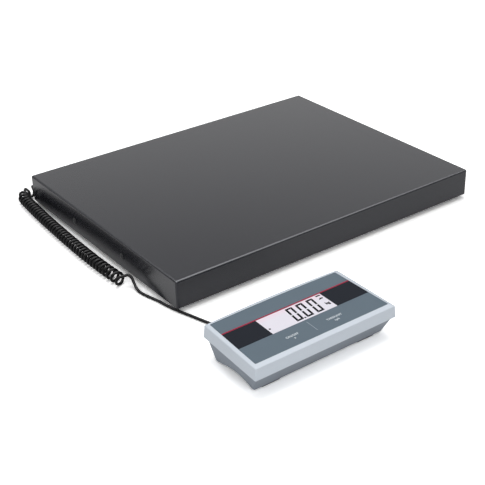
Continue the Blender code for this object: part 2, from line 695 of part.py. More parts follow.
def base_mesh(name):
    """The base's outer skin, open at the top, narrowing to the floor and to the back."""
    shape = bmesh.new()
    side = shape.faces.new([shape.verts.new((-0.5, y, z)) for y, z in base_profile()])
    other = bmesh.ops.extrude_face_region(shape, geom=[side])
    for item in other["geom"]:
        if isinstance(item, bmesh.types.BMVert):
            item.co.x = 0.5
    bmesh.ops.recalc_face_normals(shape, faces=shape.faces)
    gone = [face for face in shape.faces if face.normal.z > 0.9]
    bmesh.ops.delete(shape, geom=gone, context="FACES_ONLY")
    for vert in shape.verts:
        share = (vert.co.z - BASE_CLEARANCE) / (plane_height(vert.co.y) - BASE_CLEARANCE)
        back_share = (vert.co.y - RIM_FRONT) / (RIM_BACK - RIM_FRONT)
        top_width = RIM_FRONT_WIDTH + (RIM_BACK_WIDTH - RIM_FRONT_WIDTH) * back_share
        top_width += 2 * (BEZEL_FLARE - BASE_INSET)
        vert.co.x *= BASE_FLOOR_WIDTH + (top_width - BASE_FLOOR_WIDTH) * share
    mesh = bpy.data.meshes.new(name)
    shape.to_mesh(mesh)
    shape.free()
    return mesh


door_size = (DOOR_WIDTH, DOOR_BACK - DOOR_FRONT, 0.012)
door_centre = (0.0, (DOOR_BACK + DOOR_FRONT) / 2, 0.0085)
base = place("lower_housing", base_mesh("lower_housing"), MID_GREY_ABS, indicator)
soften(base, BASE_EDGE, 2)
thicken(base, HOUSING_WALL)
cut_box(base, "door_opening", door_size, door_centre, indicator)
cut_round(base, "boot_hole", BOOT_HOLE_RADIUS, THROUGH / 2, boot_seat, indicator, boot_turn)
jack_seat = Vector((JACK_X, back_wall(JACK_HEIGHT), JACK_HEIGHT))
cut_round(base, "jack_hole", JACK_RADIUS + FIT_GAP, THROUGH / 2, jack_seat, indicator, boot_turn)

door = place("battery_door", base_mesh("battery_door"), MID_GREY_ABS, indicator)
thicken(door, HOUSING_WALL)
door_block = box("door_block", [size - 2 * FIT_GAP for size in door_size], -door_size[2] / 2 + FIT_GAP)
cut(door, place("door_block", door_block, None, indicator, door_centre, cutter=True), "INTERSECT")

jack = [
    (JACK_BORE_RADIUS, 0.0), (JACK_RADIUS, 0.0), (JACK_RADIUS, -JACK_DEPTH), (0.0, -JACK_DEPTH),
    (0.0, -JACK_BORE_DEPTH), (JACK_BORE_RADIUS, -JACK_BORE_DEPTH),
]
turned("power_jack", jack, BLACK_NYLON, indicator, jack_seat, boot_turn, steps=16, ring=True)

foot_strip = (FOOT_STRIP_LENGTH, BASE_STRIP * 0.8, BASE_CLEARANCE - FIT_GAP)
number = 0
for y in (BASE_FLOOR_FRONT + BASE_STRIP * 0.56, BASE_FLOOR_BACK - BASE_STRIP * 0.56):
    for x in (-FOOT_STRIP_X, FOOT_STRIP_X):
        number += 1
        strip = box(f"indicator_foot_{number}", foot_strip, 0.0)
        soften(place(strip.name, strip, BLACK_RUBBER, indicator, (x, y, 0.0)), 0.0002, 1)

# Batteries in an open-bottomed holder over the door

holder_room = 2 * (BATTERY_GAP + HOLDER_WALL)
holder_size = (2 * BATTERY_LENGTH + holder_room, 4 * BATTERY_RADIUS + holder_room, HOLDER_TOP - HOLDER_LOW)
holder_y = (DOOR_BACK + DOOR_FRONT) / 2
holder_skin = box("battery_holder", holder_size, HOLDER_LOW, "bottom")
holder = place("battery_holder", holder_skin, BLACK_NYLON, indicator, (0.0, holder_y, 0.0))
thicken(holder, HOLDER_WALL)
half = BATTERY_LENGTH / 2
shoulder = half - BATTERY_NUB_HEIGHT
battery = [
    (0.0, half), (BATTERY_NUB_RADIUS, half), (BATTERY_NUB_RADIUS, shoulder), (BATTERY_RADIUS, shoulder),
    (BATTERY_RADIUS, -half), (0.0, -half),
]
battery_z = HOLDER_TOP - HOLDER_WALL - FIT_GAP - BATTERY_RADIUS
battery_x = (BATTERY_LENGTH + BATTERY_GAP) / 2
battery_y = BATTERY_RADIUS + BATTERY_GAP / 2
for number, (x, y) in enumerate(corners(battery_x, battery_y), 1):
    middle = (x, holder_y + y, battery_z)
    turned(f"battery_{number}", battery, BATTERY_SLEEVE, indicator, middle, LYING_X, steps=14)

# Bezel: moulded upper shell with a sloping rim round the overlay's recess


def loft(name, rings):
    """A skin over outlines of four corners, closed at the first and open at the last."""
    shape = bmesh.new()
    loops = [[shape.verts.new((x, y, z)) for x, y in outline] for outline, z in rings]
    shape.faces.new(loops[0])
    for upper, lower in zip(loops, loops[1:]):
        for i in range(4):
            shape.faces.new((upper[i], lower[i], lower[(i + 1) % 4], upper[(i + 1) % 4]))
    mesh = bpy.data.meshes.new(name)
    shape.to_mesh(mesh)
    shape.free()
    return mesh


overlay_outline = (OVERLAY_FRONT, OVERLAY_BACK, OVERLAY_FRONT_WIDTH, OVERLAY_BACK_WIDTH)
rim_outline = (RIM_FRONT, RIM_BACK, RIM_FRONT_WIDTH, RIM_BACK_WIDTH)
bezel_skin = loft("upper_housing", [
    (trapezoid(*overlay_outline, 0.0008), 0.0),
    (trapezoid(*rim_outline), -RIM_DROP),
    (trapezoid(*rim_outline, BEZEL_FLARE), -RIM_DROP - BEZEL_WALL + FIT_GAP),
])
bezel = place("upper_housing", bezel_skin, LIGHT_GREY_ABS, display)
soften(bezel, 0.0016, 2, angle=25)
thicken(bezel, HOUSING_WALL)
overlay_low = -OVERLAY_SINK - OVERLAY_THICKNESS
recess_low = overlay_low - FIT_GAP
recess = prism("overlay_recess", trapezoid(*overlay_outline, FIT_GAP), recess_low, 0.01)
cut(bezel, place("overlay_recess", recess, None, display, cutter=True))
window_opening = (WINDOW_WIDTH + 0.004, WINDOW_DEPTH + 0.004, THROUGH)
cut_box(bezel, "window_opening", window_opening, (0, WINDOW_Y, 0), display)
key_pocket = recess_low - KEY_TRAVEL - FIT_GAP
for side in (-1, 1):
    pocket = (KEY_WIDTH + 2 * FIT_GAP, KEY_DEPTH + 2 * FIT_GAP, THROUGH)
    cut_box(bezel, f"key_pocket_{side}", pocket, (side * KEY_X, KEY_Y, key_pocket + THROUGH / 2), display)
    cut_round(bezel, f"key_hole_{side}", STEM_RADIUS + 0.0015, THROUGH, (side * KEY_X, KEY_Y, 0.0), display)

# Overlay: printed film with a window and two key fields cut free, so that each key can travel

film = prism("overlay", trapezoid(*overlay_outline), overlay_low, -OVERLAY_SINK)
overlay = place("overlay", film, SLATE_FILM, display)
cut_box(overlay, "overlay_window", (WINDOW_WIDTH, WINDOW_DEPTH, THROUGH), (0, WINDOW_Y, 0), display)
stem_top = overlay_low + OVERLAY_THICKNESS / 2
for side, name in ((-1, "left_key"), (1, "right_key")):
    opening = (KEY_WIDTH + 2 * FIT_GAP, KEY_DEPTH + 2 * FIT_GAP, THROUGH)
    cut_box(overlay, f"overlay_{name}", opening, (side * KEY_X, KEY_Y, 0), display)
    cap = box(name, (KEY_WIDTH, KEY_DEPTH, OVERLAY_THICKNESS), overlay_low)
    key = place(name, cap, SLATE_FILM, display, (side * KEY_X, KEY_Y, 0.0))
    stem = round_bar(f"{name}_stem", STEM_RADIUS, STEM_LENGTH, 12)
    stem_middle = (side * KEY_X, KEY_Y, stem_top - STEM_LENGTH / 2)
    cut(key, place(f"{name}_stem", stem, None, display, stem_middle, cutter=True), "UNION")

# Display stack under the window, and the board that carries it with the key switches

window_low = recess_low + FIT_GAP
window_size = (WINDOW_WIDTH - 2 * FIT_GAP, WINDOW_DEPTH - 2 * FIT_GAP, -OVERLAY_SINK - window_low)
window = box("display_window", window_size, window_low)
place("display_window", window, CLEAR_ACRYLIC, display, (0, WINDOW_Y, 0))
low = -HOUSING_WALL - FIT_GAP
lcd_stack = (
    ("lcd_panel", LCD_GLASS, LCD_THICKNESS),
    ("lcd_backlight", WHITE_DIFFUSER, BACKLIGHT_THICKNESS),
)
for name, finish, thickness in lcd_stack:
    low -= thickness
    layer = box(name, (WINDOW_WIDTH + 2 * LCD_BORDER, WINDOW_DEPTH + 2 * LCD_BORDER, thickness - FIT_GAP), low)
    soften(place(name, layer, finish, display, (0, WINDOW_Y, 0)), 0.0003, 1)
place("main_board", box("main_board", BOARD_SIZE, -BOARD_DROP), GREEN_BOARD, display)
switch_low = -BOARD_DROP + BOARD_SIZE[2] + FIT_GAP
button_top = stem_top - STEM_LENGTH - KEY_TRAVEL - FIT_GAP
switch_height = button_top - SWITCH_BUTTON_HEIGHT - switch_low
for side, name in ((-1, "left_switch"), (1, "right_switch")):
    seat = (side * KEY_X, KEY_Y, 0.0)
    switch_body = box(name, (SWITCH_SIZE, SWITCH_SIZE, switch_height), switch_low)
    switch = place(name, switch_body, BLACK_NYLON, display, seat)
    button = round_bar(f"{name}_button", SWITCH_BUTTON_RADIUS, 2 * SWITCH_BUTTON_HEIGHT, 12)
    spot = (side * KEY_X, KEY_Y, button_top - SWITCH_BUTTON_HEIGHT)
    cut(switch, place(f"{name}_button", button, None, display, spot, cutter=True), "UNION")

bpy.context.view_layer.update()
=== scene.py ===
import math

import bmesh
import bpy
from mathutils import Matrix, Vector


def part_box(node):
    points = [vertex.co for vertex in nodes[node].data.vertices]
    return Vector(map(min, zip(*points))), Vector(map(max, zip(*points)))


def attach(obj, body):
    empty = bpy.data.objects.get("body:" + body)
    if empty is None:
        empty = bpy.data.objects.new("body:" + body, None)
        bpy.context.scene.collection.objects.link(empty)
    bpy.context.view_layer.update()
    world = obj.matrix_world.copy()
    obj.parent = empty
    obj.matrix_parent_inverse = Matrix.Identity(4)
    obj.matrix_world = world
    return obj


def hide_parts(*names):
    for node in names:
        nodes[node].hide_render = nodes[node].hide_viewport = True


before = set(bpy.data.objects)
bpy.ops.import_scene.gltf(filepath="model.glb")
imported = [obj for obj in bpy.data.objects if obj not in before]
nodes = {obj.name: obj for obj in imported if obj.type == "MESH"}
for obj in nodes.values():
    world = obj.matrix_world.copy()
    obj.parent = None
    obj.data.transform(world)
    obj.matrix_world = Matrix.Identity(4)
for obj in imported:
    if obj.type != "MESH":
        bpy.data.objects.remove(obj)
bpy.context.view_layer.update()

# Levelling feet: four moulded rubber pads on zinc-plated steel studs.
# Each stud turns in a threaded bush of the base pan, and its pad spreads the load on the floor.
MOTTLE_DETAIL = 4.0
MOTTLE_STOPS = (0.25, 0.75)
GRAIN_DETAIL = 2.0
GRAIN_STRENGTH = 0.5


def wire(node, inputs):
    """The node, with its inputs set to constants or linked to other nodes' outputs."""
    for name, given in inputs.items():
        if isinstance(given, bpy.types.NodeSocket):
            node.id_data.links.new(given, node.inputs[name])
        else:
            node.inputs[name].default_value = given
    return node


def spread(tree, signal, low, high, start=0.0, end=1.0):
    """A signal from start to end turned into a value from low to high."""
    sockets = {"Value": signal, "From Min": start, "From Max": end, "To Min": low, "To Max": high}
    return wire(tree.nodes.new("ShaderNodeMapRange"), sockets).outputs["Result"]


def noise(tree, place, size, detail):
    """Cloudy noise whose patches have about this size."""
    sockets = {"Vector": place, "Scale": 1.0 / size, "Detail": detail}
    return wire(tree.nodes.new("ShaderNodeTexNoise"), sockets).outputs["Fac"]


def surface(name, colour, roughness, metallic=0.0, specular=0.5, mottle=0.06, mottle_size=0.03,
            grain=0.0004, depth=0.00002, rough_spread=0.05, stretch=(1, 1, 1), tint=(1, 1, 1)):
    """A finish with faint colour mottle, uneven gloss and a fine grain in real size."""
    made = bpy.data.materials.new(name)
    made.use_nodes = True
    tree = made.node_tree
    place = tree.nodes.new("ShaderNodeTexCoord").outputs["Object"]
    cloud = noise(tree, place, mottle_size, MOTTLE_DETAIL)
    tone = wire(tree.nodes.new("ShaderNodeValToRGB"), {"Fac": cloud})
    tone.name = "tone"
    for stop, position, share in zip(tone.color_ramp.elements, MOTTLE_STOPS, (1 - mottle, 1 + mottle)):
        stop.position = position
        stop.color = (*[min(1.0, value * share) for value in colour], 1.0)
    drawn = wire(tree.nodes.new("ShaderNodeMapping"), {"Vector": place, "Scale": stretch})
    speckle = noise(tree, drawn.outputs["Vector"], grain, GRAIN_DETAIL)
    bump = wire(tree.nodes.new("ShaderNodeBump"),
                {"Height": speckle, "Strength": GRAIN_STRENGTH, "Distance": depth})
    wire(tree.nodes["Principled BSDF"], {
        "Base Color": tone.outputs["Color"],
        "Metallic": metallic,
        "Roughness": spread(tree, cloud, roughness - rough_spread, roughness + rough_spread),
        "Specular IOR Level": specular,
        "Specular Tint": (*tint, 1.0),
        "Normal": bump.outputs["Normal"],
    })
    return made


def smooth(mesh, angle=35):
    """Smooth shading that stays sharp at real edges."""
    mesh.shade_smooth()
    mesh.set_sharp_from_angle(angle=math.radians(angle))


def dress(finish, *names):
    """Gives CAD nodes a finish, and smooth shading on their round faces."""
    for name in names:
        mesh = nodes[name].data
        mesh.materials.clear()
        mesh.materials.append(finish)
        smooth(mesh)


def four(name):
    """The names of four like nodes."""
    return [f"{name}_{number}" for number in range(1, 5)]


black_rubber = surface("black_rubber", (0.022, 0.022, 0.023), 0.72, specular=0.3, grain=0.0006, depth=0.00005)
zinc_plate = surface("zinc_plate", (0.60, 0.61, 0.62), 0.34, 1.0, mottle=0.10, mottle_size=0.006)
dress(black_rubber, *four("foot_pad"))
dress(zinc_plate, *four("foot_stud"))

# Base pan: a shallow tray pressed from 2 mm steel sheet and painted satin black.
# Its upturned walls stiffen it, and it carries the load cell, the overload stops and the gland.
satin_black = surface("satin_black", (0.020, 0.020, 0.022), 0.50, specular=0.4, grain=0.0008, depth=0.00003)
dress(satin_black, "base_pan")

# Load cell: a milled aluminium bar with a double bore, between two steel spacer plates.
# Two socket-head bolts fix one end to the pan and two the other to the spider; four stops catch an overload.
BOLT_HEAD_RADIUS = 0.0050
BOLT_HEAD_HEIGHT = 0.0042
BOLT_CHAMFER = 0.0006
BOLT_SOCKET_RADIUS = 0.0027
BOLT_SOCKET_DEPTH = 0.0026
BOLT_SIDES = 36
BOLT_SPACING = 0.020


def placed(name, data, place=Matrix()):
    """A new object of the scene, set in place."""
    made = bpy.data.objects.new(name, data)
    bpy.context.scene.collection.objects.link(made)
    made.matrix_world = place
    return made


def piece(name, data, finish, body, place=Matrix()):
    """A new piece of the model, set in place and riding on a body."""
    made = placed(name, data, place)
    data.materials.append(finish)
    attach(made, body)
    return made


def mesh_of(name, shape):
    """A mesh from a bmesh, which is freed."""
    bmesh.ops.recalc_face_normals(shape, faces=shape.faces)
    mesh = bpy.data.meshes.new(name)
    shape.to_mesh(mesh)
    shape.free()
    return mesh


def stack(rings):
    """A closed skin over rings of points, capped at both ends."""
    shape = bmesh.new()
    loops = [[shape.verts.new(point) for point in points] for points in rings]
    for upper, lower in zip(loops, loops[1:]):
        count = len(upper)
        for i in range(count):
            shape.faces.new((upper[i], lower[i], lower[(i + 1) % count], upper[(i + 1) % count]))
    shape.faces.new(loops[0])
    shape.faces.new(loops[-1])
    return shape


def ring(radius, z, sides):
    """Points of a level circle."""
    turns = [2 * math.pi * i / sides for i in range(sides)]
    return [(radius * math.cos(turn), radius * math.sin(turn), z) for turn in turns]


def shade_round(made, angle=35):
    """Smooth shading that stays sharp at real edges and flat on flat faces."""
    smooth(made.data, angle)
    even = made.modifiers.new("even_shading", "WEIGHTED_NORMAL")
    even.keep_sharp = True


def bolt_head():
    """A socket-head bolt: a round head with a chamfered rim and a hexagonal socket."""
    rim, top = BOLT_HEAD_RADIUS, BOLT_HEAD_HEIGHT
    socket = []
    for x, y, _ in ring(1.0, 0.0, BOLT_SIDES):
        turn = math.atan2(y, x) % (math.pi / 3) - math.pi / 6
        reach = BOLT_SOCKET_RADIUS * math.cos(math.pi / 6) / math.cos(turn)
        socket.append((x * reach, y * reach))
    return stack([
        ring(rim, 0.0, BOLT_SIDES),
        ring(rim, top - BOLT_CHAMFER, BOLT_SIDES),
        ring(rim - BOLT_CHAMFER, top, BOLT_SIDES),
        [(x, y, top) for x, y in socket],
        [(x, y, top - BOLT_SOCKET_DEPTH) for x, y in socket],
    ])


milled_aluminium = surface("milled_aluminium", (0.74, 0.75, 0.77), 0.30, 1.0, mottle=0.05, mottle_size=0.004,
                           stretch=(0.05, 1, 1))
dress(milled_aluminium, "load_cell")
dress(zinc_plate, "lower_spacer", "upper_spacer", *four("overload_stop"))
black_oxide = surface("black_oxide", (0.035, 0.035, 0.038), 0.42, 0.8, mottle=0.12, mottle_size=0.003)
spider_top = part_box("spider_frame")[1].z
pan_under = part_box("base_pan")[0].z
for spacer, height, flip in (("upper_spacer", spider_top, 0.0), ("lower_spacer", pan_under, math.pi)):
    low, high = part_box(spacer)
    for number, side in enumerate((-1, 1), 1):
        spot = Vector(((low.x + high.x) / 2 + side * BOLT_SPACING / 2, (low.y + high.y) / 2, height))
        seat = Matrix.Translation(spot) @ Matrix.Rotation(flip, 4, "X")
        bolt = piece(f"{spacer}_bolt_{number}", mesh_of("bolt", bolt_head()), black_oxide, "base", seat)
        shade_round(bolt)

# Spider frame: a pressed steel H with a flange turned down all round, painted like the pan.
# Four rubber discs on its arms cushion the cover.
dress(satin_black, "spider_frame")
dress(black_rubber, *four("cushion"))

# Cover: a pan folded from 2 mm steel sheet, its corners welded and ground, then powder coated.
# It only rests on the cushions. The coat is a fine satin charcoal.
COVER_SHEET = 0.002
COVER_BEND = 0.0027
BEND_STEPS = 6
EDGE_ANGLE = math.radians(30)
NOTCH_WIDTH = 0.018
PLUG_HOLE_RADIUS = 0.0036
CUT_REACH = 0.01
cover_low, cover_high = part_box("cover")
platform_middle = Vector(((cover_low.x + cover_high.x) / 2, (cover_low.y + cover_high.y) / 2, 0.0))


def block(low, high):
    """A closed box between two corners."""
    shape = bmesh.new()
    bmesh.ops.create_cube(shape, size=1.0)
    for vert in shape.verts:
        for axis in range(3):
            vert.co[axis] = low[axis] + (vert.co[axis] + 0.5) * (high[axis] - low[axis])
    return shape


def round_edges(made, width, steps):
    """Rounded edges."""
    bevel = made.modifiers.new("round_edges", "BEVEL")
    bevel.width = width
    bevel.segments = steps
    bevel.limit_method = "ANGLE"
    bevel.angle_limit = EDGE_ANGLE


def wall(made, thickness):
    """A wall of this thickness, grown inward."""
    solid = made.modifiers.new("wall", "SOLIDIFY")
    solid.thickness = thickness
    solid.offset = -1.0
    solid.use_even_offset = True


def final_mesh(made):
    """The mesh of an object as its modifiers or its curve make it."""
    bpy.context.view_layer.update()
    graph = bpy.context.evaluated_depsgraph_get()
    return bpy.data.meshes.new_from_object(made.evaluated_get(graph))


def carve(made, shape, place=Matrix(), operation="DIFFERENCE"):
    """Cuts a closed shape out of a piece, or joins it on."""
    tool = placed("tool", mesh_of("tool", shape), place)
    boolean = made.modifiers.new("carve", "BOOLEAN")
    boolean.operation = operation
    boolean.object = tool
    carved = final_mesh(made)
    made.modifiers.clear()
    made.data = carved
    bpy.data.objects.remove(tool)


def rod(radius, length, sides=32):
    """A closed cylinder along Z, centred."""
    return stack([ring(radius, length / 2, sides), ring(radius, -length / 2, sides)])


charcoal_coat = surface("charcoal_coat", (0.0050, 0.0054, 0.0085), 0.24, mottle=0.05, mottle_size=0.12,
                        grain=0.0007, depth=0.000008, rough_spread=0.008, tint=(0.95, 0.96, 1.0))
shape = block(cover_low, cover_high)
open_side = min(shape.faces, key=lambda face: face.normal.z)
bmesh.ops.delete(shape, geom=[open_side], context="FACES_ONLY")
cover = piece("cover_pan", mesh_of("cover_pan", shape), charcoal_coat, "cover")
round_edges(cover, COVER_BEND, BEND_STEPS)
wall(cover, COVER_SHEET)
gland_low, gland_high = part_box("cord_gland")
gland_middle = (gland_low + gland_high) / 2
notch_low = (gland_middle.x - NOTCH_WIDTH / 2, cover_high.y - CUT_REACH, 0.0)
notch_high = (gland_middle.x + NOTCH_WIDTH / 2, cover_high.y + CUT_REACH, gland_middle.z + NOTCH_WIDTH / 2)
carve(cover, block(notch_low, notch_high))
for number in (1, 2):
    plug_low, plug_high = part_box(f"hole_plug_{number}")
    drill = Matrix.Translation((plug_low + plug_high) / 2) @ Matrix.Rotation(math.pi / 2, 4, "Y")
    carve(cover, rod(PLUG_HOLE_RADIUS, 2 * CUT_REACH), drill)
shade_round(cover)
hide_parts("cover")
dress(charcoal_coat, "cover_rib_1", "cover_rib_2")

# Hole plugs and gland: black nylon buttons snapped into two holes of the left skirt, and the cord's bush.
# The holes take a bracket where the indicator stands on a column.
black_nylon = surface("black_nylon", (0.016, 0.016, 0.018), 0.40, specular=0.5, grain=0.0005)
dress(black_nylon, "hole_plug_1", "hole_plug_2", "cord_gland")

# Cord: a 4 mm black flex, wound hot into curls, with a short lead to the platform's gland
# and a longer one along the floor to the boot at the indicator's back.
CORD_DIAMETER = 0.004
CORD_ROUNDNESS = 5
CURL_DIAMETER = 0.0185
CURLS = 41
WOUND_TURNS = CURLS + 0.5
CURL_PITCH = 0.0080
LOOSE_CURLS = 1.8
LOOSE_PITCH = 0.0075
CURL_POINTS = 18
KNOT_STEPS = 24
ROUTE_STEP = 0.002
FLOOR_GAP = 0.0003
INDICATOR_PLACE = Vector((-0.1845, -0.3524, 0.0))
BOOT_MOUTH = Vector((-0.0450, 0.0577, 0.0076))
BOOT_LEAN = math.radians(24.7)
PLATFORM_LEAD_ROUTE = [
    (-0.2012, 0.2155, 0.0138), (-0.2080, 0.2192, 0.0096), (-0.2170, 0.2170, 0.0056),
    (-0.2260, 0.2120, 0.0032), (-0.2350, 0.2094, 0.0024),
]
COIL_LINE = [
    (-0.2430, 0.2220), (-0.2540, 0.2215), (-0.2640, 0.2185), (-0.2705, 0.2115), (-0.2735, 0.2010),
    (-0.2755, 0.1780), (-0.2785, 0.1400), (-0.2815, 0.0800), (-0.2835, 0.0150), (-0.2835, -0.0450),
    (-0.2810, -0.1000),
]
LEAD_ROUTE = [
    (-0.2702, -0.1060, 0.0138), (-0.2705, -0.1120, 0.0085), (-0.2715, -0.1195, 0.0040),
    (-0.2715, -0.1300, 0.0023), (-0.2690, -0.1430, 0.0022), (-0.2648, -0.1600, 0.0022),
    (-0.2615, -0.1790, 0.0022), (-0.2568, -0.1985, 0.0022), (-0.2505, -0.2190, 0.0022),
    (-0.2425, -0.2450, 0.0022), (-0.2345, -0.2680, 0.0024),
]
indicator_middle = platform_middle + INDICATOR_PLACE


def smooth_route(points, spacing):
    """Evenly spaced points on a smooth curve through the given ones."""
    knots = [Vector(point) for point in points]
    padded = [2 * knots[0] - knots[1]] + knots + [2 * knots[-1] - knots[-2]]
    dense = []
    for i in range(1, len(padded) - 2):
        p0, p1, p2, p3 = padded[i - 1:i + 3]
        for k in range(KNOT_STEPS):
            t = k / KNOT_STEPS
            dense.append(0.5 * (2 * p1 + (p2 - p0) * t + (2 * p0 - 5 * p1 + 4 * p2 - p3) * t ** 2
                                + (3 * p1 - p0 - 3 * p2 + p3) * t ** 3))
    dense.append(knots[-1])
    lengths = [0.0]
    for a, b in zip(dense, dense[1:]):
        lengths.append(lengths[-1] + (b - a).length)
    count = max(2, round(lengths[-1] / spacing))
    spaced = []
    index = 0
    for k in range(count + 1):
        target = lengths[-1] * k / count
        while index < len(dense) - 2 and lengths[index + 1] < target:
            index += 1
        share = (target - lengths[index]) / (lengths[index + 1] - lengths[index])
        spaced.append(dense[index].lerp(dense[index + 1], share))
    return spaced


def curl_points():
    """Centre line of the curls: a helix on the coil line, looser towards both ends."""
    line = smooth_route([(x, y, 0.0) for x, y in COIL_LINE], ROUTE_STEP)
    steps = CURLS * CURL_POINTS
    pitches = []
    for i in range(steps):
        turn = i / CURL_POINTS
        loose = math.exp(-turn / LOOSE_CURLS) + math.exp(-(CURLS - turn) / LOOSE_CURLS)
        pitches.append(CURL_PITCH + LOOSE_PITCH * loose)
    whole = sum(pitches)
    radius = (CURL_DIAMETER - CORD_DIAMETER) / 2
    height = CURL_DIAMETER / 2 + FLOOR_GAP
    along = 0.0
    points = []
    for i in range(steps + 1):
        spot = along / whole * (len(line) - 1)
        index = min(int(spot), len(line) - 2)
        heading = (line[index + 1] - line[index]).normalized()
        middle = line[index].lerp(line[index + 1], spot - index)
        left = Vector((-heading.y, heading.x, 0.0))
        angle = -math.pi / 2 - 2 * math.pi * (i / CURL_POINTS) * WOUND_TURNS / CURLS
        offset = left * math.cos(angle) * radius + Vector((0, 0, math.sin(angle) * radius + height))
        points.append(middle + offset)
        along += pitches[i] if i < steps else 0.0
    return points


def level(way):
    """The same direction laid level."""
    return Vector((way.x, way.y, 0.0)).normalized()


curls = curl_points()
first_way = level(curls[0] - curls[1]) * CORD_DIAMETER
last_way = level(curls[-1] - curls[-2]) * CORD_DIAMETER
gland_mouth = Vector((gland_middle.x, gland_high.y + FLOOR_GAP, gland_middle.z)) - platform_middle
gland_way = Vector((0.0, CORD_DIAMETER, 0.0))
boot_mouth = indicator_middle + BOOT_MOUTH - platform_middle
boot_way = Vector((0.0, math.cos(BOOT_LEAN), -math.sin(BOOT_LEAN))) * CORD_DIAMETER
short_lead = [gland_mouth, gland_mouth + gland_way, *PLATFORM_LEAD_ROUTE, curls[0] + 2 * first_way,
              curls[0] + first_way]
long_lead = [curls[-1] + last_way, curls[-1] + 2 * last_way, *LEAD_ROUTE, boot_mouth + boot_way, boot_mouth]
route = smooth_route(short_lead, ROUTE_STEP) + curls + smooth_route(long_lead, ROUTE_STEP)
black_flex = surface("black_flex", (0.0032, 0.0032, 0.0040), 0.30, specular=0.14, mottle=0.05,
                     mottle_size=0.02, grain=0.0006)
flex = bpy.data.curves.new("cord", "CURVE")
flex.dimensions = "3D"
flex.bevel_depth = CORD_DIAMETER / 2
flex.bevel_resolution = CORD_ROUNDNESS
flex.use_fill_caps = True
line = flex.splines.new("POLY")
line.points.add(len(route) - 1)
for spot, point in zip(line.points, route):
    spot.co = (*(platform_middle + point), 1.0)
line.use_smooth = True
cord = piece("cord", flex, black_flex, "base")
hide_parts("platform_lead", "curly_cord", "indicator_lead")
dress(black_flex, "cell_cable")

# Indicator base: moulded in mid grey ABS, with leaning walls and an arched underside.
# It holds the batteries behind a clip-in door and stands on four thin rubber strips.
# Four domed screws, the door's grip ridges and the pin in the power jack are its small parts.
HEAD_RADIUS = 0.0027
HEAD_HEIGHT = 0.0012
HEAD_SINK = 0.0004
HEAD_PROFILE = ((1.0, 0.3), (0.9, 0.75), (0.7, 1.0))
HEAD_SIDES = 48
CROSS_LENGTH = 0.62
CROSS_WIDTH = 0.15
CROSS_TAPER = 0.8
CROSS_FLOOR = 0.2
LEAST_DIVISOR = 0.01
SCREW_PLACES = ((-0.0680, -0.0200), (0.0680, -0.0200), (-0.0680, 0.0170), (0.0680, 0.0170))
RIDGE_PLACES = (0.0040, 0.0075, 0.0110)
RIDGE_SIZE = (0.0260, 0.0011, 0.0009)
RIDGE_ROUND = 0.4
RIDGE_STEPS = 3
JACK_DEPTH = 0.0120
PIN_RADIUS = 0.00065
PIN_LENGTH = 0.0085
PIN_SINK = 0.0003
PIN_RECESS = 0.0012
PIN_TIP = ((1.0, 1.0), (0.75, 0.3), (0.3, 0.0))
PIN_SIDES = 16
FROM_BELOW = -0.05


def standing(spot, way):
    """A place at a spot, with Z along a way."""
    return Matrix.Translation(spot) @ way.to_track_quat("Z", "Y").to_matrix().to_4x4()


def under(name, x, y):
    """The seat of a small piece on a node's underside, with Z pointing away from it."""
    node = nodes[name]
    start = indicator_middle + Vector((x, y, FROM_BELOW))
    _, spot, normal, _ = node.ray_cast(node.matrix_world.inverted() @ start, (0, 0, 1))
    return standing(node.matrix_world @ spot, normal)


def screw_head():
    """A domed screw head with a cross recess."""
    cross = []
    for x, y, _ in ring(1.0, 0.0, HEAD_SIDES):
        long, short = max(abs(x), abs(y)), max(min(abs(x), abs(y)), LEAST_DIVISOR)
        reach = HEAD_RADIUS * min(CROSS_LENGTH / long, CROSS_WIDTH / short)
        cross.append((x * reach, y * reach))
    return stack([
        ring(HEAD_RADIUS, -HEAD_SINK, HEAD_SIDES),
        *[ring(HEAD_RADIUS * out, HEAD_HEIGHT * rise, HEAD_SIDES) for out, rise in HEAD_PROFILE],
        [(x, y, HEAD_HEIGHT) for x, y in cross],
        [(x * CROSS_TAPER, y * CROSS_TAPER, HEAD_HEIGHT * CROSS_FLOOR) for x, y in cross],
    ])


mid_grey_abs = surface("mid_grey_abs", (0.214, 0.244, 0.284), 0.48, specular=0.3, mottle=0.03, grain=0.0006,
                       depth=0.00004)
dress(mid_grey_abs, "lower_housing", "battery_door")
dress(black_rubber, *four("indicator_foot"))
dress(black_nylon, "cord_boot", "power_jack", "battery_holder")
battery_sleeve = surface("battery_sleeve", (0.09, 0.10, 0.12), 0.30, mottle=0.04)
dress(battery_sleeve, *four("battery"))
for number, spot in enumerate(SCREW_PLACES, 1):
    screw = piece(f"base_screw_{number}", mesh_of("screw", screw_head()), zinc_plate, "base",
                  under("lower_housing", *spot))
    shade_round(screw)
for number, y in enumerate(RIDGE_PLACES, 1):
    corner = Vector(RIDGE_SIZE) / 2
    ridge = piece(f"door_ridge_{number}", mesh_of("ridge", block(-corner, corner)), mid_grey_abs,
                  "battery_door", under("battery_door", 0.0, y))
    round_edges(ridge, RIDGE_SIZE[2] * RIDGE_ROUND, RIDGE_STEPS)
    shade_round(ridge)
jack_low, jack_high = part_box("power_jack")
jack_way = boot_way.normalized()
pin_foot = (jack_low + jack_high) / 2 + jack_way * (JACK_DEPTH / 2 - PIN_LENGTH - PIN_RECESS)
pin_rings = [ring(PIN_RADIUS, -PIN_SINK, PIN_SIDES)]
pin_rings += [ring(PIN_RADIUS * out, PIN_LENGTH - PIN_RADIUS * short, PIN_SIDES) for out, short in PIN_TIP]
pin = piece("jack_pin", mesh_of("jack_pin", stack(pin_rings)), zinc_plate, "base",
            standing(pin_foot, jack_way))
shade_round(pin)

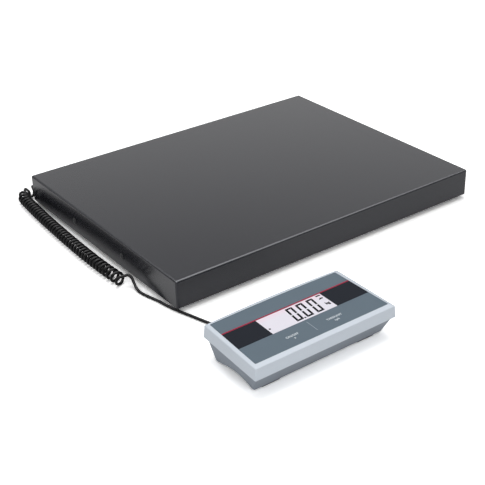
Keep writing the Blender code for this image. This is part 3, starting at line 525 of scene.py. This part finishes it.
# Main board: a green glass-fibre circuit board with two tactile switches under the keys.
# It is screwed up into the bezel and carries the backlight and the LCD glass.
board_green = surface("board_green", (0.02, 0.15, 0.07), 0.42, mottle=0.15, mottle_size=0.004)
dress(board_green, "main_board")
dress(black_nylon, "left_switch", "right_switch")
frosted_white = surface("frosted_white", (0.82, 0.82, 0.85), 0.55)
dress(frosted_white, "lcd_backlight", "lcd_panel")

# Bezel: the upper shell of the indicator, moulded in light grey ABS with a sloping rim round a recess.
# Screws from below hold it to the base; the overlay is glued into the recess.
DISPLAY_TILT = math.radians(1.4)
DISPLAY_HEIGHT = 0.0448
OVERLAY_FRONT = -0.0448
OVERLAY_BACK = 0.0487
OVERLAY_FRONT_WIDTH = 0.1992
OVERLAY_BACK_WIDTH = 0.1916
OVERLAY_SINK = 0.0003
OVERLAY_THICKNESS = 0.0007
OVERLAY_CORNER = 0.0016
OVERLAY_BOW = 0.0014
RIM_FRONT = -0.0521
RIM_BACK = 0.0521
RIM_FRONT_WIDTH = 0.2098
RIM_BACK_WIDTH = 0.2036
RIM_DROP = 0.0014
RIM_BACK_DROP = 0.0005
RIM_CORNER = 0.0018
RIM_BOW = 0.0028
RIM_INNER_EDGE = 0.0008
RIM_INNER_DROP = 0.0002
RIM_ROUNDING = ((-0.0009, 0.0002), (-0.0002, -0.0003), (0.0001, -0.0012))
CORNER_STEPS = 5
BOW_STEPS = 16
BEZEL_WALL = 0.0157
BEZEL_FLARE = 0.0012
BEZEL_FOOT_BEVEL = 0.0004
BEZEL_EDGE_ANGLE = 40
HOUSING_WALL = 0.0025
FIT_GAP = 0.0003
KEY_SIZE = (0.0440, 0.0220)
KEY_MIDDLE = (0.0318, -0.0285)
KEY_TRAVEL = 0.0004
KEY_STEM_RADIUS = 0.0040
KEY_STEM_LENGTH = 0.0046
KEY_STEM_PLAY = 0.0015
POCKET_TOP = 0.01
STEM_HOLE_LENGTH = 0.03
display = Matrix.Translation(indicator_middle + Vector((0, 0, DISPLAY_HEIGHT)))
display = display @ Matrix.Rotation(DISPLAY_TILT, 4, "X")
overlay_outline = (OVERLAY_FRONT, OVERLAY_BACK, OVERLAY_FRONT_WIDTH, OVERLAY_BACK_WIDTH)
rim_outline = (RIM_FRONT, RIM_BACK, RIM_FRONT_WIDTH, RIM_BACK_WIDTH)


def trapezoid(front, back, front_width, back_width, grow, radius, bow=0.0):
    """An outline that narrows to a bowed back, with round corners, counter-clockwise from front left."""
    corners = [
        Vector((-front_width / 2 - grow, front - grow)), Vector((front_width / 2 + grow, front - grow)),
        Vector((back_width / 2 + grow, back + grow)), Vector((-back_width / 2 - grow, back + grow)),
    ]
    outline = []
    for i, corner in enumerate(corners):
        before = corner + (corners[i - 1] - corner).normalized() * radius
        after = corner + (corners[(i + 1) % 4] - corner).normalized() * radius
        for k in range(CORNER_STEPS + 1):
            t = k / CORNER_STEPS
            outline.append(before * (1 - t) ** 2 + corner * 2 * t * (1 - t) + after * t ** 2)
        # The bowed edge runs from the third corner, at the back right, to the fourth.
        if i == 2:
            start, end = after, corners[3] + (corner - corners[3]).normalized() * radius
            for k in range(1, BOW_STEPS):
                t = k / BOW_STEPS
                outline.append(start.lerp(end, t) + Vector((0.0, bow * 4 * t * (1 - t))))
    return outline


def at_height(outline, z):
    """The outline's points at one height."""
    return [(point.x, point.y, z) for point in outline]


def on_rim(outline, lift):
    """The outline's points along the rim, which drops less at the back."""
    drop = (RIM_BACK_DROP - RIM_DROP) / (RIM_BACK - RIM_FRONT)
    return [(point.x, point.y, lift - RIM_DROP - drop * (point.y - RIM_FRONT)) for point in outline]


light_grey_abs = surface("light_grey_abs", (0.54, 0.59, 0.65), 0.44, specular=0.35, mottle=0.02, grain=0.0006,
                         depth=0.00004)
film_top = -OVERLAY_SINK
film_low = film_top - OVERLAY_THICKNESS
recess_low = film_low - FIT_GAP
bezel_foot = -RIM_DROP - BEZEL_WALL
recess = trapezoid(*overlay_outline, FIT_GAP, OVERLAY_CORNER, OVERLAY_BOW)
bezel_rings = [
    at_height(recess, recess_low),
    at_height(recess, -RIM_INNER_DROP),
    at_height(trapezoid(*overlay_outline, RIM_INNER_EDGE, RIM_CORNER, OVERLAY_BOW), 0.0),
    *[on_rim(trapezoid(*rim_outline, out, RIM_CORNER, RIM_BOW), lift) for out, lift in RIM_ROUNDING],
    at_height(trapezoid(*rim_outline, BEZEL_FLARE, RIM_CORNER), bezel_foot + BEZEL_FOOT_BEVEL),
    at_height(trapezoid(*rim_outline, BEZEL_FLARE - BEZEL_FOOT_BEVEL, RIM_CORNER), bezel_foot),
]
shape = stack(bezel_rings)
shape.faces.ensure_lookup_table()
bmesh.ops.delete(shape, geom=[shape.faces[-1]], context="FACES_ONLY")
bezel = piece("bezel", mesh_of("bezel", shape), light_grey_abs, "base", display)
wall(bezel, HOUSING_WALL)
for side in (-1, 1):
    key_u, key_v = side * KEY_MIDDLE[0], KEY_MIDDLE[1]
    half_u, half_v = KEY_SIZE[0] / 2 + FIT_GAP, KEY_SIZE[1] / 2 + FIT_GAP
    pocket_low = (key_u - half_u, key_v - half_v, recess_low - KEY_TRAVEL - FIT_GAP)
    carve(bezel, block(pocket_low, (key_u + half_u, key_v + half_v, POCKET_TOP)), display)
    hole = display @ Matrix.Translation((key_u, key_v, 0.0))
    carve(bezel, rod(KEY_STEM_RADIUS + KEY_STEM_PLAY, STEM_HOLE_LENGTH), hole)
shade_round(bezel, BEZEL_EDGE_ANGLE)
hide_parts("upper_housing")

# Overlay: a slate grey polyester film with a printed band, glued into the bezel's recess.
# Its two key fields are cut free so that each can travel.
WINDOW_SIZE = (0.1000, 0.0340)
WINDOW_V = 0.0058
FILM_GAP = 0.00005
SAME_POINT = 0.000001


def flat_piece(name, outlines, low, high, finish, body):
    """A flat piece of the display, from an outline and the outlines of its holes."""
    curve = bpy.data.curves.new(name, "CURVE")
    curve.dimensions = "2D"
    curve.fill_mode = "BOTH"
    curve.extrude = (high - low) / 2
    for outline in outlines:
        line = curve.splines.new("POLY")
        line.points.add(len(outline) - 1)
        line.use_cyclic_u = True
        for spot, (u, v) in zip(line.points, outline):
            spot.co = (u, v, 0.0, 1.0)
    holder = placed("holder", curve)
    mesh = final_mesh(holder)
    bpy.data.objects.remove(holder)
    clean = bmesh.new()
    clean.from_mesh(mesh)
    bmesh.ops.remove_doubles(clean, verts=clean.verts, dist=SAME_POINT)
    mesh.clear_geometry()
    clean.to_mesh(mesh)
    clean.free()
    mesh.materials.clear()
    return piece(name, mesh, finish, body, display @ Matrix.Translation((0, 0, (low + high) / 2)))


def oblong(middle, size, grow=0.0):
    """A rectangle's corners about its middle."""
    u, v = middle
    half_u, half_v = size[0] / 2 + grow, size[1] / 2 + grow
    return [
        (u - half_u, v - half_v), (u + half_u, v - half_v),
        (u + half_u, v + half_v), (u - half_u, v + half_v),
    ]


slate_film = surface("slate_film", (0.112, 0.148, 0.180), 0.46, specular=0.08, mottle=0.02, grain=0.0005)
key_fields = {"left_key": (-KEY_MIDDLE[0], KEY_MIDDLE[1]), "right_key": KEY_MIDDLE}
outlines = [
    trapezoid(*overlay_outline, 0.0, OVERLAY_CORNER, OVERLAY_BOW),
    oblong((0.0, WINDOW_V), WINDOW_SIZE),
    *[oblong(middle, KEY_SIZE, FIT_GAP) for middle in key_fields.values()],
]
film = flat_piece("overlay_film", outlines, film_low, film_top, slate_film, "base")
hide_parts("overlay")
for name, (u, v) in key_fields.items():
    field = oblong((u, v), KEY_SIZE, FIT_GAP - FILM_GAP)
    key = flat_piece(f"{name}_field", [field], film_low, film_top, slate_film, name)
    stem_middle = display @ Matrix.Translation((u, v, film_low + OVERLAY_THICKNESS / 2 - KEY_STEM_LENGTH / 2))
    carve(key, rod(KEY_STEM_RADIUS, KEY_STEM_LENGTH), stem_middle, "UNION")
    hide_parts(name)

# Print on the overlay: a black band with a crimson line along its back edge, a divider and plain key words.
# All of it is screen printed on the film in thin flat inks.
PRINT = 0.00004
PRINT_MARGIN = 0.0001
BAND_FRONT = -0.0112
BAND_BACK = 0.0228
BAND_LAP = 0.0012
LINE_WIDTH = 0.0019
DIVIDER = ((-0.0024, -0.0255), (0.0005, 0.0205))
LETTER_WEIGHT = 0.00009
LETTER_ROUNDNESS = 3
LEGENDS = (
    ("left_key", "ON/OFF", (-0.0332, -0.0270), 0.0050), ("left_key", "0", (-0.0332, -0.0326), 0.0036),
    ("right_key", "TARE/UNIT", (0.0302, -0.0268), 0.0046), ("right_key", "kg/lb", (0.0300, -0.0326), 0.0036),
)


def strip(front, back, left=None, right=None):
    """A printed strip across the overlay, or from or to a place on it, counter-clockwise from front left."""
    ends = []
    for v in (front, back):
        share = (v - OVERLAY_FRONT) / (OVERLAY_BACK - OVERLAY_FRONT)
        width = OVERLAY_FRONT_WIDTH + (OVERLAY_BACK_WIDTH - OVERLAY_FRONT_WIDTH) * share
        half = width / 2 - PRINT_MARGIN
        ends.append([(-half if left is None else left, v), (half if right is None else right, v)])
    return ends[0] + ends[1][::-1]


def words(name, text, middle, size, finish, body, weight=LETTER_WEIGHT):
    """Flat printed words on the film, centred on a place."""
    curve = bpy.data.curves.new(name, "FONT")
    curve.body = text
    curve.size = size
    curve.align_x = "CENTER"
    curve.align_y = "CENTER"
    curve.extrude = PRINT / 2
    curve.offset = weight
    curve.resolution_u = LETTER_ROUNDNESS
    return piece(name, curve, finish, body, display @ Matrix.Translation((*middle, film_top + PRINT / 2)))


band_ink = surface("band_ink", (0.0080, 0.0098, 0.0145), 0.46, specular=0.04, mottle=0.03, grain=0.0005)
crimson_ink = surface("crimson_ink", (0.29, 0.010, 0.038), 0.46, specular=0.08, mottle=0.03, grain=0.0005)
pale_ink = surface("pale_ink", (0.62, 0.66, 0.69), 0.50, specular=0.15, mottle=0.02, grain=0.0005)
grey_ink = surface("grey_ink", (0.40, 0.44, 0.48), 0.50, specular=0.15, mottle=0.02, grain=0.0005)
window_half = WINDOW_SIZE[0] / 2 - BAND_LAP
prints = [
    ("band_left", strip(BAND_FRONT, BAND_BACK, right=-window_half), band_ink),
    ("band_right", strip(BAND_FRONT, BAND_BACK, left=window_half), band_ink),
    ("crimson_line", strip(BAND_BACK, BAND_BACK + LINE_WIDTH), crimson_ink),
    ("divider", oblong(*DIVIDER), grey_ink),
]
for name, outline, ink in prints:
    flat_piece(name, [outline], film_top, film_top + PRINT, ink, "base")
for number, (body, text, middle, size) in enumerate(LEGENDS, 1):
    words(f"legend_{number}", text, middle, size, pale_ink, body)

# Display: a backlit LCD laminated under a clear acrylic window that sits flush in the film.
# It reads nought to two places in thin slanting segments, with the unit and small marks beside them.
DIGIT_PLACES = (-0.0103, 0.0051, 0.0211)
DIGIT_SIZE = (0.0103, 0.0286)
DIGIT_FOOT = -0.0083
DIGIT_SLANT = 0.10
STROKE = 0.0029
STROKE_GAP = 0.00012
WAIST_GAP = 0.0009
POINT = ((0.0024, -0.0072), (0.0024, 0.0023))
LEFT_MARK = ((-0.0457, -0.0010), (0.0024, 0.0024))
BACK_MARK = ((0.0436, 0.0198), (0.0066, 0.0023))
ARROW_MARK = [(0.0390, 0.0119), (0.0460, 0.0123), (0.0464, 0.0144), (0.0434, 0.0144), (0.0444, 0.0161)]
UNIT_PLACE = (0.0432, 0.0007)
UNIT_SIZE = 0.0066
UNIT_WEIGHT = 0.00032
LCD_GLOW = (1.0, 0.95, 1.0, 1.0)
LCD_GLOW_STRENGTH = 0.13
BLUSH = (0.80, 0.55, 0.64, 1.0)
BLUSH_SHARE = 0.55
BLUSH_DEPTH = 0.010


def lcd_finish():
    """The lit LCD seen through its window: pale lilac, rosy along the back edge."""
    made = surface("lit_lcd", (0.66, 0.64, 0.71), 0.24, specular=0.3, mottle=0.015, rough_spread=0.03)
    tree = made.node_tree
    place = tree.nodes.new("ShaderNodeTexCoord").outputs["Object"]
    depth = wire(tree.nodes.new("ShaderNodeSeparateXYZ"), {"Vector": place}).outputs["Y"]
    back_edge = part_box("display_window")[1].y
    blend = tree.nodes.new("ShaderNodeMix")
    blend.data_type = "RGBA"
    wire(blend, {
        "Factor": spread(tree, depth, 0.0, BLUSH_SHARE, back_edge - BLUSH_DEPTH, back_edge),
        "A": tree.nodes["tone"].outputs["Color"],
        "B": BLUSH,
    })
    wire(tree.nodes["Principled BSDF"], {
        "Base Color": blend.outputs["Result"],
        "Emission Color": LCD_GLOW,
        "Emission Strength": LCD_GLOW_STRENGTH,
    })
    return made


def nought(left):
    """The six lit segments of a nought whose foot starts at left, mitred at its corners."""
    width, height = DIGIT_SIZE
    waist = height / 2
    near, far = STROKE + STROKE_GAP, width - STROKE - STROKE_GAP
    bars = []
    for outer, inner, turn in ((0.0, STROKE, 1), (height, height - STROKE, -1)):
        bars.append([(STROKE_GAP, outer), (width - STROKE_GAP, outer), (far, inner), (near, inner)])
        end = waist - turn * WAIST_GAP
        gap = turn * STROKE_GAP
        for edge, core in ((0.0, STROKE), (width, width - STROKE)):
            bars.append([(edge, outer + gap), (core, inner + gap), (core, end), (edge, end)])
    return [[(left + u + DIGIT_SLANT * v, DIGIT_FOOT + v) for u, v in bar] for bar in bars]


dress(lcd_finish(), "display_window")
segment_ink = surface("segment_ink", (0.002, 0.002, 0.004), 0.50, specular=0.02, mottle=0.03, grain=0.0005)
marks = [bar for place in DIGIT_PLACES for bar in nought(place)]
marks += [oblong(*POINT), oblong(*LEFT_MARK), ARROW_MARK, oblong(*BACK_MARK)]
flat_piece("lcd_segments", marks, film_top, film_top + PRINT, segment_ink, "base")
words("lcd_unit", "kg", UNIT_PLACE, UNIT_SIZE, segment_ink, "base", UNIT_WEIGHT)

# Camera: a long lens above the front left corner, where the photo was taken from.
# Its place and focal length were fitted to the platform's corners.
CAMERA_AZIMUTH = math.radians(-35.52)
CAMERA_ELEVATION = math.radians(28.96)
CAMERA_ROLL = math.radians(-1.66)
CAMERA_DISTANCE = 1.5009
CAMERA_TARGET = Vector((-0.0927, -0.1113, 0.007))
FOCAL_PIXELS = 1070.3
IMAGE_PIXELS = 485
SENSOR = 36.0
back = Vector((math.sin(CAMERA_AZIMUTH) * math.cos(CAMERA_ELEVATION),
               -math.cos(CAMERA_AZIMUTH) * math.cos(CAMERA_ELEVATION), math.sin(CAMERA_ELEVATION)))
right = Vector((0, 0, 1)).cross(back).normalized()
up = back.cross(right)
turn = Matrix((right, up, back)).transposed().to_4x4() @ Matrix.Rotation(CAMERA_ROLL, 4, "Z")
lens = bpy.data.cameras.new("camera")
lens.sensor_width = SENSOR
lens.lens = FOCAL_PIXELS / IMAGE_PIXELS * SENSOR
spot = platform_middle + CAMERA_TARGET + back * CAMERA_DISTANCE
bpy.context.scene.camera = placed("camera", lens, Matrix.Translation(spot) @ turn)

# Floor: a sheet of pale studio paper, wide enough to fill the picture.
# It looks white, and brighter far off, but lights the piece less than it looks.
FLOOR_SIZE = 6.0
FLOOR_SEEN = 1.65
FLOOR_FAR = 3.0
FLOOR_FAR_BAND = (0.7, 2.2)
FLOOR_MIRRORED = 1.10
FLOOR_LIT = 0.88


def joined(tree, operation, *signals):
    """Signals taken together, by their sum, their product or the largest of them."""
    total = signals[0]
    for signal in signals[1:]:
        node = wire(tree.nodes.new("ShaderNodeMath"), {0: total, 1: signal})
        node.operation = operation
        total = node.outputs["Value"]
    return total


def seen_and_mirrored(tree):
    """Two signals: what the camera sees itself, and what it sees in or through another surface."""
    path = tree.nodes.new("ShaderNodeLightPath").outputs
    mirrored = joined(tree, "MAXIMUM", path["Is Glossy Ray"], path["Is Transmission Ray"])
    return path["Is Camera Ray"], mirrored


shape = bmesh.new()
bmesh.ops.create_grid(shape, x_segments=1, y_segments=1, size=FLOOR_SIZE)
floor = placed("floor", mesh_of("floor", shape))
pale = bpy.data.materials.new("pale_floor")
pale.use_nodes = True
tree = pale.node_tree
tree.nodes.remove(tree.nodes["Principled BSDF"])
seen, mirrored = seen_and_mirrored(tree)
place = tree.nodes.new("ShaderNodeTexCoord").outputs["Object"]
reach = wire(tree.nodes.new("ShaderNodeVectorMath"), {0: place})
reach.operation = "LENGTH"
far = spread(tree, reach.outputs["Value"], FLOOR_SEEN, FLOOR_FAR, *FLOOR_FAR_BAND)
tone = joined(tree, "MAXIMUM", joined(tree, "MULTIPLY", seen, far),
              spread(tree, mirrored, FLOOR_LIT, FLOOR_MIRRORED))
paper = wire(tree.nodes.new("ShaderNodeBsdfDiffuse"), {"Color": tone})
wire(tree.nodes["Material Output"], {"Surface": paper.outputs["BSDF"]})
floor.data.materials.append(pale)

# Light: a white room and three soft boxes, overhead, at the left and in front.
# In mirrored light the room is dim along the horizon and bright overhead,
# so that bends show a light and a dark line.
WORLD_LIT = 0.42
HORIZON_DIM = 0.04
HORIZON_LIT = 1.35
HORIZON_BAND = (0.10, 0.28)
UPPER_DIM = -1.15
UPPER_BAND = (0.36, 0.55)
OVERHEAD_GLOW = 5.0
OVERHEAD_BAND = (0.64, 0.71)
SOFT_BOXES = {
    "overhead": ((0.1, 0.2, 2.0), (0.0, 0.0, 0.0), (1.5, 1.2), 18),
    "left": ((-1.5, -0.9, 1.0), (-0.1, -0.1, 0.0), (1.0, 1.0), 6),
    "front": ((-0.6, -2.2, 1.2), (0.0, -0.1, 0.0), (1.6, 1.0), 12),
}
world = bpy.data.worlds.new("studio")
bpy.context.scene.world = world
world.use_nodes = True
tree = world.node_tree
seen, mirrored = seen_and_mirrored(tree)
place = tree.nodes.new("ShaderNodeTexCoord").outputs["Generated"]
height = wire(tree.nodes.new("ShaderNodeSeparateXYZ"), {"Vector": place}).outputs["Z"]
room = joined(
    tree, "ADD",
    spread(tree, height, 0.0, UPPER_DIM, *UPPER_BAND),
    spread(tree, height, 0.0, OVERHEAD_GLOW, *OVERHEAD_BAND),
    spread(tree, height, HORIZON_DIM, HORIZON_LIT, *HORIZON_BAND),
)
lit = wire(tree.nodes.new("ShaderNodeMix"), {"Factor": mirrored, "A": WORLD_LIT, "B": room})
strength = joined(tree, "MAXIMUM", lit.outputs["Result"], seen)
wire(tree.nodes["Background"], {"Color": (1, 1, 1, 1), "Strength": strength})
for name, (place, aim, size, power) in SOFT_BOXES.items():
    lamp = bpy.data.lights.new(name, "AREA")
    lamp.shape = "RECTANGLE"
    lamp.size, lamp.size_y = size
    lamp.energy = power
    box = placed(name, lamp)
    box.location = place
    box.rotation_euler = (Vector(aim) - Vector(place)).to_track_quat("-Z", "Y").to_euler()

bpy.context.scene.view_settings.view_transform = "Standard"
